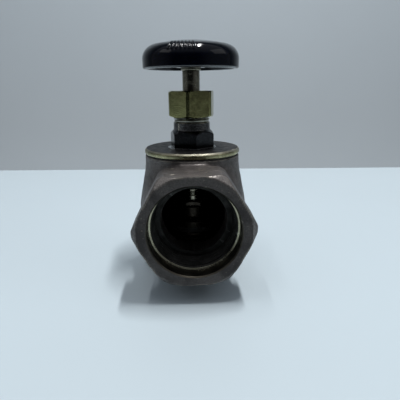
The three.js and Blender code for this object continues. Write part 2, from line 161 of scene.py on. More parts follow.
def new_mesh(name, verts, faces):
    """A mesh whose faces point outwards, from vertices in millimetres."""
    mesh = bpy.data.meshes.new(name)
    mesh.from_pydata((np.asarray(verts) * MM + ORIGIN).tolist(), [], faces)
    mesh.update()
    if volume(mesh) < 0:
        mesh.flip_normals()
    return mesh


def volume(mesh):
    mesh.calc_loop_triangles()
    tris = np.empty(len(mesh.loop_triangles) * 3, np.int32)
    mesh.loop_triangles.foreach_get("vertices", tris)
    points = np.empty(len(mesh.vertices) * 3)
    mesh.vertices.foreach_get("co", points)
    corners = (points.reshape(-1, 3) - ORIGIN)[tris.reshape(-1, 3)]
    return float((corners[:, 0] * np.cross(corners[:, 1], corners[:, 2])).sum() / 6)


def new_object(name, verts, faces):
    obj = bpy.data.objects.new(name, new_mesh(name, verts, faces))
    bpy.context.scene.collection.objects.link(obj)
    return obj


def turned(name, profile, radius=0.25, around=160, turn=0.0):
    """A closed profile turned about the stem's axis. One that starts and ends on the axis is capped there."""
    profile = np.array(profile, float)
    theta = angles(around, turn)
    if profile[0][0] == 0:
        inner = soften(profile, radius)[1:-1]
        verts, faces = surface(
            rows_from(inner[:, :1], inner[:, 1], theta), [0, 0, profile[0][1]], [0, 0, profile[-1][1]]
        )
    else:
        loop = soften(profile, radius, closed=True)
        verts, faces = surface(rows_from(loop[:, :1], loop[:, 1], theta))
    return new_object(name, verts, faces)


def combine(target, others, operation):
    """Joins other objects to the target, or cuts them from it, and applies the result."""
    for other in others:
        step = target.modifiers.new("step", "BOOLEAN")
        step.operation = operation
        step.solver = "MANIFOLD"
        step.object = other
    bpy.context.view_layer.update()
    evaluated = target.evaluated_get(bpy.context.evaluated_depsgraph_get())
    result = bpy.data.meshes.new_from_object(evaluated)
    target.modifiers.clear()
    target.data = result
    for other in others:
        bpy.data.objects.remove(other)
    return target


def finish_piece(obj, body, nodes, materials, pick=None, sharp=32):
    """Shades a piece, gives it its materials and ties it to the CAD body and nodes it stands for."""
    mesh = obj.data
    mesh.materials.clear()
    for material in materials:
        mesh.materials.append(material)
    centres = np.empty(len(mesh.polygons) * 3)
    normals = np.empty(len(mesh.polygons) * 3)
    mesh.polygons.foreach_get("center", centres)
    mesh.polygons.foreach_get("normal", normals)
    index = np.zeros(len(mesh.polygons), np.int32)
    if pick is not None:
        index = pick((centres.reshape(-1, 3) - ORIGIN) / MM, normals.reshape(-1, 3)).astype(np.int32)
    mesh.polygons.foreach_set("material_index", index)
    mesh.polygons.foreach_set("use_smooth", np.ones(len(mesh.polygons), bool))
    mesh.set_sharp_from_angle(angle=sharp * DEG)
    weighted = obj.modifiers.new("flat faces stay flat", "WEIGHTED_NORMAL")
    weighted.keep_sharp = True
    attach(obj, body)
    if nodes:
        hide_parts(*nodes)
    return obj


def surface_net(field, low, high, cell):
    """The zero surface of a field as quads, one vertex per cell, each pulled onto the surface."""
    axes = [np.arange(a, b + cell, cell) for a, b in zip(low, high)]
    grid = np.stack(np.meshgrid(*axes, indexing="ij"), axis=-1)
    values = field(grid.reshape(-1, 3)).reshape(grid.shape[:3])
    inside = values < 0
    shape = np.array(inside.shape) - 1
    total = np.zeros((*shape, 3))
    hits = np.zeros(shape)
    corners = [(i, j, k) for i in (0, 1) for j in (0, 1) for k in (0, 1)]

    def part(array, c):
        return array[c[0]:c[0] + shape[0], c[1]:c[1] + shape[1], c[2]:c[2] + shape[2]]

    for a in corners:
        for axis in range(3):
            if a[axis]:
                continue
            b = tuple(v + (n == axis) for n, v in enumerate(a))
            crossed = part(inside, a) != part(inside, b)
            va, vb = part(values, a), part(values, b)
            t = np.where(crossed, va / np.where(crossed, va - vb, 1), 0)
            point = part(grid, a) + t[..., None] * (part(grid, b) - part(grid, a))
            total += point * crossed[..., None]
            hits += crossed
    used = hits > 0
    number = np.full(shape, -1)
    number[used] = np.arange(used.sum())
    points = total[used] / hits[used][:, None]
    quads = []
    for axis in range(3):
        others = [n for n in range(3) if n != axis]
        a = [slice(1, -1)] * 3
        b = [slice(1, -1)] * 3
        a[axis], b[axis] = slice(0, -1), slice(1, None)
        crossed = inside[tuple(a)] != inside[tuple(b)]
        where = np.argwhere(crossed)
        base = where.copy()
        base[:, others] += 1
        ring = []
        for du, dv in ((1, 1), (0, 1), (0, 0), (1, 0)):
            cell_index = base.copy()
            cell_index[:, others[0]] -= du
            cell_index[:, others[1]] -= dv
            ring.append(number[tuple(cell_index.T)])
        quad = np.stack(ring, axis=1)
        outwards = inside[tuple(a)][crossed] != (axis == 1)
        quad[~outwards] = quad[~outwards][:, ::-1]
        quads.append(quad)
    for _ in range(3):
        value = field(points)
        slope = np.stack(
            [(field(points + d) - field(points - d)) / 0.04 for d in np.eye(3) * 0.02], axis=1
        )
        points = points - slope * (value / np.maximum((slope ** 2).sum(1), 0.05))[:, None]
    return points, np.concatenate(quads).tolist()


# ------------------------------------------------------------------ materials
class Shader:
    """A node tree with a Principled surface. Texture coordinates are the object's own, in metres."""

    def __init__(self, name):
        self.material = bpy.data.materials.new(name)
        self.material.use_nodes = True
        self.tree = self.material.node_tree
        self.surface = self.tree.nodes["Principled BSDF"]
        self.place = self.node("ShaderNodeTexCoord").outputs["Object"]

    def node(self, kind, inputs=None, **settings):
        made = self.tree.nodes.new(kind)
        for key, value in settings.items():
            setattr(made, key, value)
        for key, value in (inputs or {}).items():
            self.put(made.inputs[key], value)
        return made

    def put(self, socket, value):
        if isinstance(value, bpy.types.NodeSocket):
            self.tree.links.new(value, socket)
        else:
            socket.default_value = value

    def noise(self, scale, detail=4.0, rough=0.55, stretch=(1, 1, 1), warp=0.0):
        place = self.node(
            "ShaderNodeMapping", {"Vector": self.place, "Scale": stretch}
        ).outputs["Vector"]
        found = self.node("ShaderNodeTexNoise", {
            "Vector": place, "Scale": scale, "Detail": detail, "Roughness": rough, "Distortion": warp,
        })
        return found.outputs["Fac"]

    def cells(self, scale):
        return self.node("ShaderNodeTexVoronoi", {"Vector": self.place, "Scale": scale}).outputs["Distance"]

    def ramp(self, value, low, high, start=0.0, end=1.0):
        made = self.node("ShaderNodeMapRange", {
            "Value": value, "From Min": low, "From Max": high, "To Min": start, "To Max": end,
        }, interpolation_type="SMOOTHSTEP")
        return made.outputs["Result"]

    def math(self, operation, a, b=0.0):
        return self.node("ShaderNodeMath", {0: a, 1: b}, operation=operation).outputs[0]

    def mix(self, factor, a, b, blend="MIX"):
        made = self.node("ShaderNodeMix", data_type="RGBA", blend_type=blend)
        self.put(made.inputs[0], factor)
        self.put(made.inputs[6], a if isinstance(a, bpy.types.NodeSocket) else (*a, 1))
        self.put(made.inputs[7], b if isinstance(b, bpy.types.NodeSocket) else (*b, 1))
        return made.outputs[2]

    def edges(self, low, high):
        """1 on outside edges and 0 on flats, from how pointed the surface is."""
        pointed = self.node("ShaderNodeNewGeometry").outputs["Pointiness"]
        return self.ramp(pointed, low, high)

    def rings(self, pitch, about="Z"):
        """Fine turning marks: a noise that changes only along the lathe's axis and radius."""
        split = self.node("ShaderNodeSeparateXYZ", {"Vector": self.place})
        x = self.math("SUBTRACT", split.outputs["X"], float(ORIGIN[0]))
        if about == "Z":
            y = self.math("SUBTRACT", split.outputs["Y"], float(ORIGIN[1]))
            along = split.outputs["Z"]
        else:
            y = self.math("SUBTRACT", split.outputs["Z"], float(ORIGIN[2]))
            along = split.outputs["Y"]
        radius = self.math("SQRT", self.math("ADD", self.math("MULTIPLY", x, x), self.math("MULTIPLY", y, y)))
        place = self.math("ADD", self.math("MULTIPLY", radius, 1.3), along)
        return self.node("ShaderNodeTexNoise", {
            "W": self.math("DIVIDE", place, pitch), "Scale": 1.0, "Detail": 2.0,
        }, noise_dimensions="1D").outputs["Fac"]

    def bump(self, height, distance, strength=1.0, under=None):
        made = self.node("ShaderNodeBump", {"Height": height, "Distance": distance, "Strength": strength})
        if under is not None:
            self.put(made.inputs["Normal"], under)
        return made.outputs["Normal"]

    def set(self, **inputs):
        names = {"color": "Base Color", "rough": "Roughness", "metal": "Metallic", "normal": "Normal",
                 "coat": "Coat Weight", "coat_rough": "Coat Roughness", "ior": "IOR",
                 "specular": "Specular IOR Level"}
        for key, value in inputs.items():
            if key == "color" and not isinstance(value, bpy.types.NodeSocket):
                value = (*value, 1)
            self.put(self.surface.inputs[names[key]], value)
        return self.material


def cast_bronze(name, dark=(0.066, 0.058, 0.055), light=(0.168, 0.150, 0.142), metal=0.55, shine=(0.40, 0.60),
                specular=0.5):
    """Sand-cast bronze under a brown-grey oxide: grainy, patchy, rubbed bright on its edges."""
    s = Shader(name)
    patches = s.ramp(s.noise(70, 5, 0.6, warp=0.4), 0.35, 0.68)
    grain = s.noise(1500, 3, 0.6)
    specks = s.ramp(s.noise(900, 2, 0.5), 0.62, 0.78)
    color = s.mix(patches, dark, light)
    color = s.mix(s.ramp(grain, 0.3, 0.7, 0.0, 0.5), color, (0.03, 0.026, 0.024))
    color = s.mix(s.math("MULTIPLY", specks, 0.35), color, (0.34, 0.30, 0.25))
    worn = s.math("MULTIPLY", s.edges(0.515, 0.60), s.ramp(s.noise(260, 4), 0.35, 0.6))
    color = s.mix(s.math("MULTIPLY", worn, 0.75), color, (0.46, 0.42, 0.35))
    rough = s.ramp(s.noise(300, 4), 0.3, 0.7, *shine)
    pits = s.bump(s.cells(1100), 0.00006, 0.35)
    skin = s.bump(s.noise(700, 6, 0.65), 0.00016, 0.6, under=pits)
    swell = s.bump(s.noise(120, 3), 0.0006, 0.25, under=skin)
    return s.set(color=color, rough=rough, metal=metal, normal=swell, specular=specular)


def machined(name, clean, tarnish, about="Z", rough=(0.22, 0.42), pitch=0.00035, marks=0.00002, amount=0.6):
    """A turned or milled copper-alloy surface with fine tool marks and patches of tarnish."""
    s = Shader(name)
    patches = s.ramp(s.noise(130, 5, 0.6, warp=0.6), 0.38, 0.7, 0.0, amount)
    blots = s.ramp(s.noise(480, 3, 0.5), 0.60, 0.74, 0.0, 0.4)
    color = s.mix(patches, clean, tarnish)
    color = s.mix(blots, color, tuple(c * 0.45 for c in tarnish))
    ring = s.rings(pitch, about)
    color = s.mix(s.ramp(ring, 0.35, 0.7, 0.0, 0.22), color, tuple(c * 0.55 for c in clean))
    bright = s.math("MULTIPLY", s.edges(0.52, 0.60), 0.5)
    color = s.mix(bright, color, tuple(min(1, c * 1.5 + 0.1) for c in clean))
    roughness = s.ramp(s.noise(400, 4), 0.3, 0.7, *rough)
    normal = s.bump(ring, marks, 0.7)
    normal = s.bump(s.noise(2200, 2), 0.000015, 0.4, under=normal)
    return s.set(color=color, rough=roughness, metal=1.0, normal=normal)


def phenolic(name, base, specular):
    """Glossy moulded resin with a faint orange-peel skin, dust and hairline rubbing."""
    s = Shader(name)
    dust = s.ramp(s.noise(240, 6, 0.7), 0.55, 0.8, 0.0, 0.05)
    color = s.mix(dust, base, (0.05, 0.055, 0.07))
    smear = s.noise(90, 5, 0.6, warp=1.0)
    scratch = s.ramp(s.noise(500, 4, 0.6, stretch=(1, 1, 7)), 0.52, 0.72, 0.0, 0.09)
    rough = s.math("ADD", s.ramp(smear, 0.35, 0.7, 0.05, 0.13), scratch)
    normal = s.bump(s.noise(650, 3, 0.5), 0.00003, 0.35)
    return s.set(color=color, rough=rough, metal=0.0, normal=normal, coat=0.05, coat_rough=0.04,
                 specular=specular)


def fibre(name, base, second, scale=900, rough=0.85, stretch=(1, 1, 1), depth=0.0001):
    """Matte pressed fibre, yarn or composition."""
    s = Shader(name)
    weave = s.noise(scale, 5, 0.65, stretch=stretch)
    color = s.mix(s.ramp(weave, 0.35, 0.68), base, second)
    fleck = s.ramp(s.noise(scale * 2.2, 2), 0.62, 0.75, 0.0, 0.4)
    color = s.mix(fleck, color, tuple(min(1, c * 2.2 + 0.02) for c in second))
    return s.set(color=color, rough=rough, metal=0.0, normal=s.bump(weave, depth, 0.7))


def zinc(name):
    """Zinc-plated steel, lightly dulled."""
    s = Shader(name)
    cloud = s.ramp(s.noise(350, 5, 0.6), 0.35, 0.7)
    color = s.mix(cloud, (0.42, 0.43, 0.43), (0.62, 0.63, 0.62))
    rough = s.ramp(s.noise(900, 3), 0.3, 0.7, 0.25, 0.45)
    return s.set(color=color, rough=rough, metal=1.0, normal=s.bump(s.rings(0.0003), 0.00001, 0.5))


CAST = cast_bronze("cast_bronze")
CAST_TOP = cast_bronze("cast_bronze_bonnet", dark=(0.045, 0.044, 0.045), light=(0.13, 0.128, 0.125),
                       metal=0.92, shine=(0.18, 0.32))
# Flange top: the bonnet casting's colour made about three times darker, as painted shade; its rough,
# low-shine finish is its own.
FLANGE_TOP_SHADED = cast_bronze("flange_top_painted_shade", dark=(0.015, 0.0145, 0.015), light=(0.042, 0.040, 0.039), metal=0.3,
                         shine=(0.42, 0.60), specular=0.12)
# Bonnet hex faces: milled metal given a near-black colour, painted shade standing in for the dark room the
# facets reflect.
HEX_FACES_SHADED = machined("bonnet_hex_milled_painted_shade", (0.026, 0.026, 0.0275), (0.013, 0.013, 0.014), amount=0.7,
                     rough=(0.14, 0.28))
# Side port wall and thread: machined metal greyer in tone than the bottom port's, and darkened as painted
# shade inside the recess, the thread darkest of all.
PORT_WALL_SHADED = machined("port_machined", (0.062, 0.058, 0.048), (0.024, 0.022, 0.020), about="Y",
                     rough=(0.35, 0.55), amount=0.9)
PORT_THREAD_SHADED = machined("port_thread_painted_shade", (0.042, 0.041, 0.038), (0.014, 0.014, 0.013), about="Y",
                       rough=(0.40, 0.60), amount=0.9)
BOTTOM_WALL = machined("bottom_port_machined", (0.10, 0.085, 0.055), (0.035, 0.03, 0.025),
                       rough=(0.35, 0.55), amount=0.9)
# Side port end face: a darker copy of the cast bronze, painted shade on the face turned towards the camera;
# its low shine is its own.
PORT_FACE_SHADED = cast_bronze("port_face_painted_shade", dark=(0.041, 0.037, 0.036), light=(0.105, 0.096, 0.091), metal=0.25,
                        shine=(0.45, 0.65), specular=0.25)
CAST_RUBBED = cast_bronze("cast_bronze_rubbed", dark=(0.105, 0.097, 0.093), light=(0.27, 0.25, 0.235),
                          metal=0.7, shine=(0.30, 0.50))
# Side port lip: machined metal darkened as painted shade, so the chamfer round the mouth stays dim.
PORT_LIP_SHADED = machined("port_lip_painted_shade", (0.075, 0.068, 0.055), (0.04, 0.036, 0.03), about="Y", amount=0.6,
                    rough=(0.3, 0.5))
PORT_RING = machined("port_ring_bright", (0.42, 0.40, 0.29), (0.20, 0.18, 0.11), about="Y", amount=0.5)
# Chamber wall: cast bronze made nearly black, painted shade inside the body.
CHAMBER_WALL_SHADED = cast_bronze("chamber_wall_painted_shade", dark=(0.012, 0.010, 0.009), light=(0.035, 0.029, 0.025), metal=0.3)
EDGE_BRASS = machined("flange_edge_brass", (0.42, 0.40, 0.24), (0.15, 0.135, 0.075), amount=0.85)
EDGE_CREAM = machined("flange_edge_bright", (0.34, 0.325, 0.26), (0.18, 0.165, 0.12), amount=0.7,
                      rough=(0.38, 0.55))
NECK_METAL = machined("bonnet_neck_thread", (0.18, 0.175, 0.145), (0.07, 0.07, 0.055), amount=0.8,
                      rough=(0.15, 0.28))
NUT_BRASS = machined("packing_nut_brass", (0.36, 0.355, 0.155), (0.20, 0.20, 0.09), amount=0.8,
                     rough=(0.12, 0.25))
STEM_METAL = machined("stem_brass", (0.30, 0.285, 0.22), (0.14, 0.13, 0.095), amount=0.5, rough=(0.15, 0.30))
SEAT_METAL = machined("seat_bronze", (0.48, 0.37, 0.21), (0.22, 0.15, 0.08), amount=0.6)
# Needle, disc holder, swivel nut and seat ring: machined bronze made nearly black, painted shade inside the
# chamber.
SHADED_BRONZE = machined("needle_bronze_painted_shade", (0.035, 0.030, 0.024), (0.015, 0.013, 0.010), amount=0.8)
COLLAR_BRASS = machined("hub_insert_brass", (0.36, 0.34, 0.27), (0.18, 0.165, 0.12), amount=0.5)
RESIN = phenolic("black_phenolic", (0.0005, 0.0011, 0.0040), 0.26)
# Handwheel rim underside: greyer, shinier resin, partly rubbed wear and partly painted sheen for the table
# light it reflects.
RESIN_LIP_WORN_AND_SHEEN = phenolic("black_phenolic_rubbed_and_painted_sheen", (0.022, 0.026, 0.030), 0.9)
COMPOSITION = fibre("seal_composition", (0.02, 0.019, 0.018), (0.05, 0.046, 0.04), rough=0.6)
PACKING = fibre("graphite_yarn", (0.02, 0.02, 0.021), (0.07, 0.07, 0.072), 700, 0.7, (1, 1, 3), 0.0002)
GASKET = fibre("gasket_fibre", (0.018, 0.016, 0.014), (0.05, 0.045, 0.04))
ZINC = zinc("zinc_steel")

# ------------------------------------------------------------------ valve body
SIDE_LEG = 47.0
BOTTOM_LEG = 35.4
HEX_FLATS = 50.8
HEX_CORNER_R = 28.5
HEX_FACE_R = 25.9
HEX_BACK_R = 27.3
SIDE_HEX_TURN = 1.8
SIDE_HEX = (25.2, 47.0)
BOTTOM_HEX = (18.4, 35.4)
NECK_TOP = 27.5
BODY_CELL = 0.62  # the finer one keeps the body just under 200,000 triangles
BULB = np.array([
    [24.6, -21], [25.2, -18], [27, -14], [28.3, -9], [28.8, -4], [28.7, 1],
    [27.9, 6], [26.7, 12], [25.4, 18.5], [24.8, 23.5], [24.65, 27], [24.6, 28],
])


def hex_end(across, up, along, near, far, turn):
    """Distance to a hexagon with corners near the across axis, turned down and chamfered at both ends."""
    sides = np.zeros(len(across))
    for flat in (30, 90, 150):
        lean = (flat + turn) * DEG
        sides = soft_max(sides, np.abs(across * math.cos(lean) + up * math.sin(lean)), 0.5)
    sides = sides - HEX_FLATS / 2
    radius = np.hypot(across, up)
    cone_far = (radius - HEX_FACE_R + along - far) * math.sqrt(0.5)
    cone_near = (radius - HEX_BACK_R + near - along) * math.sqrt(0.5)
    corners = soft_max(radius - HEX_CORNER_R, soft_max(cone_far, cone_near, 0.5), 0.6)
    ends = np.maximum(along - far, near - along)
    return soft_max(soft_max(sides, corners, 0.3), ends, 0.25)


def body_outside(p):
    """Distance to the outside of the casting, with its fillets."""
    x, y, z = p.T
    radius = np.hypot(x, y)
    bulb = (radius - np.interp(z, BULB[:, 1], BULB[:, 0])) * 0.985
    bulb = soft_max(bulb, np.maximum(z - NECK_TOP, -21 - z), 0.5)
    round_branch = np.hypot(x, z) - 24.2
    branch = soft_max(round_branch, np.maximum(-y - 28, y), 0.5)
    side = hex_end(x, z, -y, *SIDE_HEX, SIDE_HEX_TURN)
    bottom = hex_end(x, y, -z, *BOTTOM_HEX, 0)
    casting = soft_min(bulb, branch, 5.0)
    casting = soft_min(casting, bottom, 2.4)
    casting = soft_min(casting, side, 1.8)
    # The cast skin dips a little below the drawn surface; the machined end faces do not.
    ripple = 0.055 + 0.055 * np.sin(x * 0.61 + 1.3) * np.sin(y * 0.53 + 0.4) * np.sin(z * 0.57 + 2.1)
    ripple += 0.03 + 0.03 * np.sin(x * 1.7 + z * 0.9) * np.sin(y * 1.5 - z * 1.1 + 0.7)
    as_cast = smoothstep(0.1, 2.5, y + SIDE_LEG) * smoothstep(0.1, 2.5, z + BOTTOM_LEG)
    return casting + ripple * as_cast * smoothstep(0.1, 1.5, NECK_TOP - z)


def port_cutter(name, recess, thread_end, beyond, side):
    """The hollow of one threaded port, from outside its face to the waterway behind it."""
    leg = SIDE_LEG if side else BOTTOM_LEG
    pitch, depth, around = 25.4 / 11.5, 1.15, 240
    outline = [[0, -1.5], [23.1, -1.5], [21.0, 0.6], [21.0, recess], [20.25, recess + 0.35],
               [19.3, recess + 1.2]]
    head = soften(outline + [[18.5, thread_end]], 0.18)[1:-1]
    steps = np.arange(recess + 1.45, thread_end - 0.15, pitch / 12)
    taper = np.interp(steps, [recess + 1.2, thread_end], [19.3, 18.5])
    tail = soften([[18.5, thread_end - 0.2], [18.5, thread_end], [beyond[0][0], thread_end], *beyond], 0.2)
    theta = angles(around)
    ridge = thread(theta, steps, pitch, depth, recess + 1.2, thread_end, fade=1.4)
    rows = np.concatenate([
        rows_from(head[:, :1], head[:, 1], theta),
        rows_from(taper[:, None] + ridge, steps, theta),
        rows_from(tail[1:-1, :1], tail[1:-1, 1], theta),
    ])
    verts, faces = surface(rows, [0, 0, -1.5], [0, 0, tail[-1][1]])
    if side:
        verts = np.stack([verts[:, 0], verts[:, 2] - leg, verts[:, 1]], axis=1)
    else:
        verts = np.stack([verts[:, 0], verts[:, 1], verts[:, 2] - leg], axis=1)
    return new_object(name, verts, faces)


def body_regions(p, n):
    """Which finish each face of the body has, as a place in the list of materials in build_body."""
    x, y, z = p.T
    side_r, side_d = np.hypot(x, z), SIDE_LEG + y
    low_r, low_d = np.hypot(x, y), BOTTOM_LEG + z
    index = np.zeros(len(p))
    # Regions 4 (chamber), 1 (port wall), 6 (port thread), 5 (lip) and 7 (port face) get colours darkened as
    # painted shade; 1 is also greyer in tone.
    index[(np.hypot(x, y) < 24.3) & (z > -16.4) & (side_d > 17.6)] = 4
    index[(side_r < 22.3) & (side_d > 0.04) & (side_d < 17.6)] = 1
    index[(side_r < 20.1) & (side_d > 7.3) & (side_d < 17.6)] = 6
    index[(low_r < 22.3) & (low_d > -0.2) & (low_d < 19.4)] = 2
    index[(side_r > 20.05) & (side_r < 20.75) & (side_d > 6.5) & (side_d < 7.4) & (n[:, 1] < -0.2)] = 3
    index[(side_r > 20.9) & (side_d < 0.1) & (n[:, 1] < -0.9)] = 7
    index[(side_r > 25.2) & (side_d < 3.2) & (n[:, 1] > -0.86) & (n[:, 1] < -0.45)] = 8
    lead_in = (np.abs(side_r + side_d - 21.6) < 0.12) & (side_d < 0.75)
    index[lead_in & (n[:, 1] > -0.95)] = 5
    return index


def build_body():
    points, quads = surface_net(body_outside, (-31, -49, -37), (31, 31, 30), BODY_CELL)
    body = new_object("valve_body_casting", points, quads)
    side = port_cutter("side_hollow", 6.8, 17.4, [[15.95, 43.0], [0, 43.0]], True)
    bottom = port_cutter("bottom_hollow", 5.4, 16.0, [[14.8, 20.4], [0, 20.4]], False)
    chamber = turned("chamber_hollow", [
        [0, -16.2], [19.5, -16.2], [22.5, -13], [23.8, -6], [23.4, 2], [21.4, 10], [19, 14],
        [19.7, 14.7], [19.7, 26.9], [20.4, 27.6], [20.4, 29], [0, 29],
    ], radius=0.8, around=200)
    combine(body, [side, bottom, chamber], "DIFFERENCE")
    finish_piece(body, ROOT, ["valve_body"],
                 [CAST, PORT_WALL_SHADED, BOTTOM_WALL, PORT_RING, CHAMBER_WALL_SHADED, PORT_LIP_SHADED, PORT_THREAD_SHADED, PORT_FACE_SHADED,
                  CAST_RUBBED],
                 body_regions, sharp=38)


build_body()

# ------------------------------------------------------------------ bonnet
BONNET_HEX_TURN = 10.6
NECK_PITCH = 1.5875  # 16 threads to the inch
FOOT_FILLET = 0.3


def build_bonnet():
    around = 288
    theta = angles(around, BONNET_HEX_TURN)
    hexagon = hex_radius(theta, 20.6, BONNET_HEX_TURN)
    plain = np.full(around, 99.0)
    # Each part of the profile is limited to the hexagon, or left round.
    spigot = soften([
        [15.6, 25.5], [15.6, 15.0], [18.6, 15.0], [19.4, 15.8], [19.4, 28.2], [24.4, 28.2],
        [24.9, 28.7], [24.9, 30.1], [24.0, 31.1], [12.7, 31.1],
    ], 0.35)
    spigot = refine(spigot, 1.2)
    fillet = np.linspace(0, 1, 7)[:, None]
    foot = np.hstack([
        np.full((7, 1), 99.0), 31.1 + FOOT_FILLET * (1 - np.cos(fillet * TAU / 4)),
    ])
    foot_out = FOOT_FILLET * (1 - np.sin(fillet * TAU / 4))
    wall = refine(np.array([[99.0, 32.0], [99.0, 35.6]]), 1.0)
    cone = refine(np.array([[13.4, 36.0], [12.2, 37.6], [10.9, 38.9], [9.6, 40.1]]), 0.3)
    neck_z = np.arange(44.6, 53.8, NECK_PITCH / 12)
    neck = soften([[9.45, 40.4], [9.42, 43.7], [9.35, 43.9], [8.95, 44.3], [8.95, 44.6]], 0.2)
    end = soften([[9.2, 53.8], [8.6, 54.5], [7.7, 54.5], [7.2, 54.0], [7.2, 42.5], [4.65, 42.5],
                  [4.65, 37.7], [6.5, 35.9], [6.5, 16.0], [7.5, 15.0], [10.2, 15.0], [10.2, 25.5]], 0.25)
    rows = [rows_from(spigot[:, :1], spigot[:, 1], theta)]
    limit = soft_min(foot[:, :1] + plain * 0, hexagon[None, :] + foot_out, 0.15)
    rows.append(rows_from(limit, foot[:, 1], theta))
    for section in (wall, cone):
        rows.append(rows_from(soft_min(section[:, :1] + 0 * plain, hexagon[None, :], 0.12),
                              section[:, 1], theta))
    rows.append(rows_from(neck[:, :1], neck[:, 1], theta))
    ridge = thread(theta, neck_z, NECK_PITCH, 0.55, 44.6, 53.8, fade=1.2)
    base = np.interp(neck_z, [44.6, 45.6, 53.8], [8.95, 8.85, 8.85])
    rows.append(rows_from(base[:, None] + ridge, neck_z, theta))
    rows.append(rows_from(end[:, :1], end[:, 1], theta))
    bonnet = new_object("bonnet_casting", *surface(np.concatenate(rows)))

    def regions(p, n):
        radius = np.hypot(p[:, 0], p[:, 1])
        index = np.zeros(len(p))
        index[(radius > 24.2) & (p[:, 2] < 30.3)] = 1
        index[(radius > 23.9) & (p[:, 2] > 30.3) & (p[:, 2] < 31.05)] = 2
        index[((radius < 9.6) & (p[:, 2] > 43.6)) | ((radius < 8.3) & (p[:, 2] > 27))] = 3
        # Regions 4 (flange top) and 5 (hex faces) get colours darkened as painted shade.
        index[(radius > 12.3) & (p[:, 2] > 31.05)] = 4
        index[(radius < 12.3) & (radius > 9.6) & (p[:, 2] > 31.4)] = 5
        return index

    finish_piece(bonnet, ROOT, ["bonnet"],
                 [CAST_TOP, EDGE_BRASS, EDGE_CREAM, NECK_METAL, FLANGE_TOP_SHADED, HEX_FACES_SHADED], regions, sharp=24)


build_bonnet()

# ------------------------------------------------------------------ packing nut
NUT_TURN = -9.5


def build_packing_nut():
    theta = angles(720, NUT_TURN)
    flats, corner, low, high = 21.7, 12.1, 46.7, 59.5
    hexagon = hex_radius(theta, flats, NUT_TURN)[None, :]
    outside = refine(np.array([
        [10.9, low], [corner, low + 0.75], [corner, high - 0.64], [11.1, high],
    ]), 0.2)
    inside = soften([
        [10.7, high], [6.4, high], [4.9, high - 1.1], [4.9, 57.25], [9.7, 57.25],
        [9.7, low + 0.8], [10.2, low], [10.7, low],
    ], 0.15)
    rows = np.concatenate([
        rows_from(soft_min(outside[:, :1] + 0 * theta, hexagon, 0.06), outside[:, 1], theta),
        rows_from(inside[:, :1], inside[:, 1], theta),
    ])
    nut = new_object("packing_nut_brass_hex", *surface(rows))
    finish_piece(nut, NUT, ["packing_nut"], [NUT_BRASS], sharp=12)


build_packing_nut()

# ------------------------------------------------------------------ stem
STEM_PITCH = 3.175  # 8 threads to the inch


def build_stem():
    theta = angles(144)
    lower = soften([
        [0, -5.7], [4.8, -5.7], [5.6, -4.9], [5.6, -3.3], [4.2, -3.3], [4.2, 5.0], [3.6, 5.3],
        [3.6, 5.9], [4.2, 6.2], [4.2, 6.8], [5.2, 7.8],
    ], 0.2)[1:]
    thread_z = np.arange(8.0, 25.5, STEM_PITCH / 18)
    ridge = thread(theta, thread_z, STEM_PITCH, 1.0, 8.0, 25.5, fade=1.0)
    upper = soften([
        [5.2, 25.6], [4.4, 26.9], [4.4, 45], [4.4, 69.2], [4.1, 69.6], [0, 69.6],
    ], 0.2)[:-1]
    rows = np.concatenate([
        rows_from(lower[:, :1], lower[:, 1], theta),
        rows_from(5.2 + ridge, thread_z, theta),
        rows_from(refine(upper, 4)[:, :1], refine(upper, 4)[:, 1], theta),
    ])
    stem = new_object("stem_spindle", *surface(rows, [0, 0, -5.7], [0, 0, 69.6]))
    corner = np.arange(96) / 96 * TAU
    side = 3.1 / np.maximum(np.abs(np.cos(corner)), np.abs(np.sin(corner)))
    outline = soft_min(side, np.full(96, 4.3), 0.3)
    height = np.array([68.6, 77.3, 77.6])
    shrink = np.array([0.0, 0.0, 0.3])
    square_rows = rows_from(outline[None, :] - shrink[:, None], height, corner)
    square = new_object("square", *surface(square_rows, [0, 0, 68.6], [0, 0, 77.6]))
    hole = turned("hole", [[0, 70.5], [2.2, 71.2], [2.2, 77.3], [2.6, 78.2], [0, 78.2]], 0.05, 48)
    combine(stem, [square], "UNION")
    combine(stem, [hole], "DIFFERENCE")
    finish_piece(stem, STEM, ["stem"], [STEM_METAL])


build_stem()

# ------------------------------------------------------------------ handwheel
BOX_FACES = [[0, 1, 3, 2], [4, 6, 7, 5], [0, 4, 5, 1], [2, 3, 7, 6], [0, 2, 6, 4], [1, 5, 7, 3]]
WHEEL_R, CROWN_Z, SHOULDER_R, CROWN_FALL = 24.05, 82.7, 7.0, 1.3
RIDGE_GROUPS, RIDGES_PER_GROUP, RIDGE_STEP, RIDGE_TURN = 3, 7, 4.9, -12.0
RIDGE_LIFT = 0.35


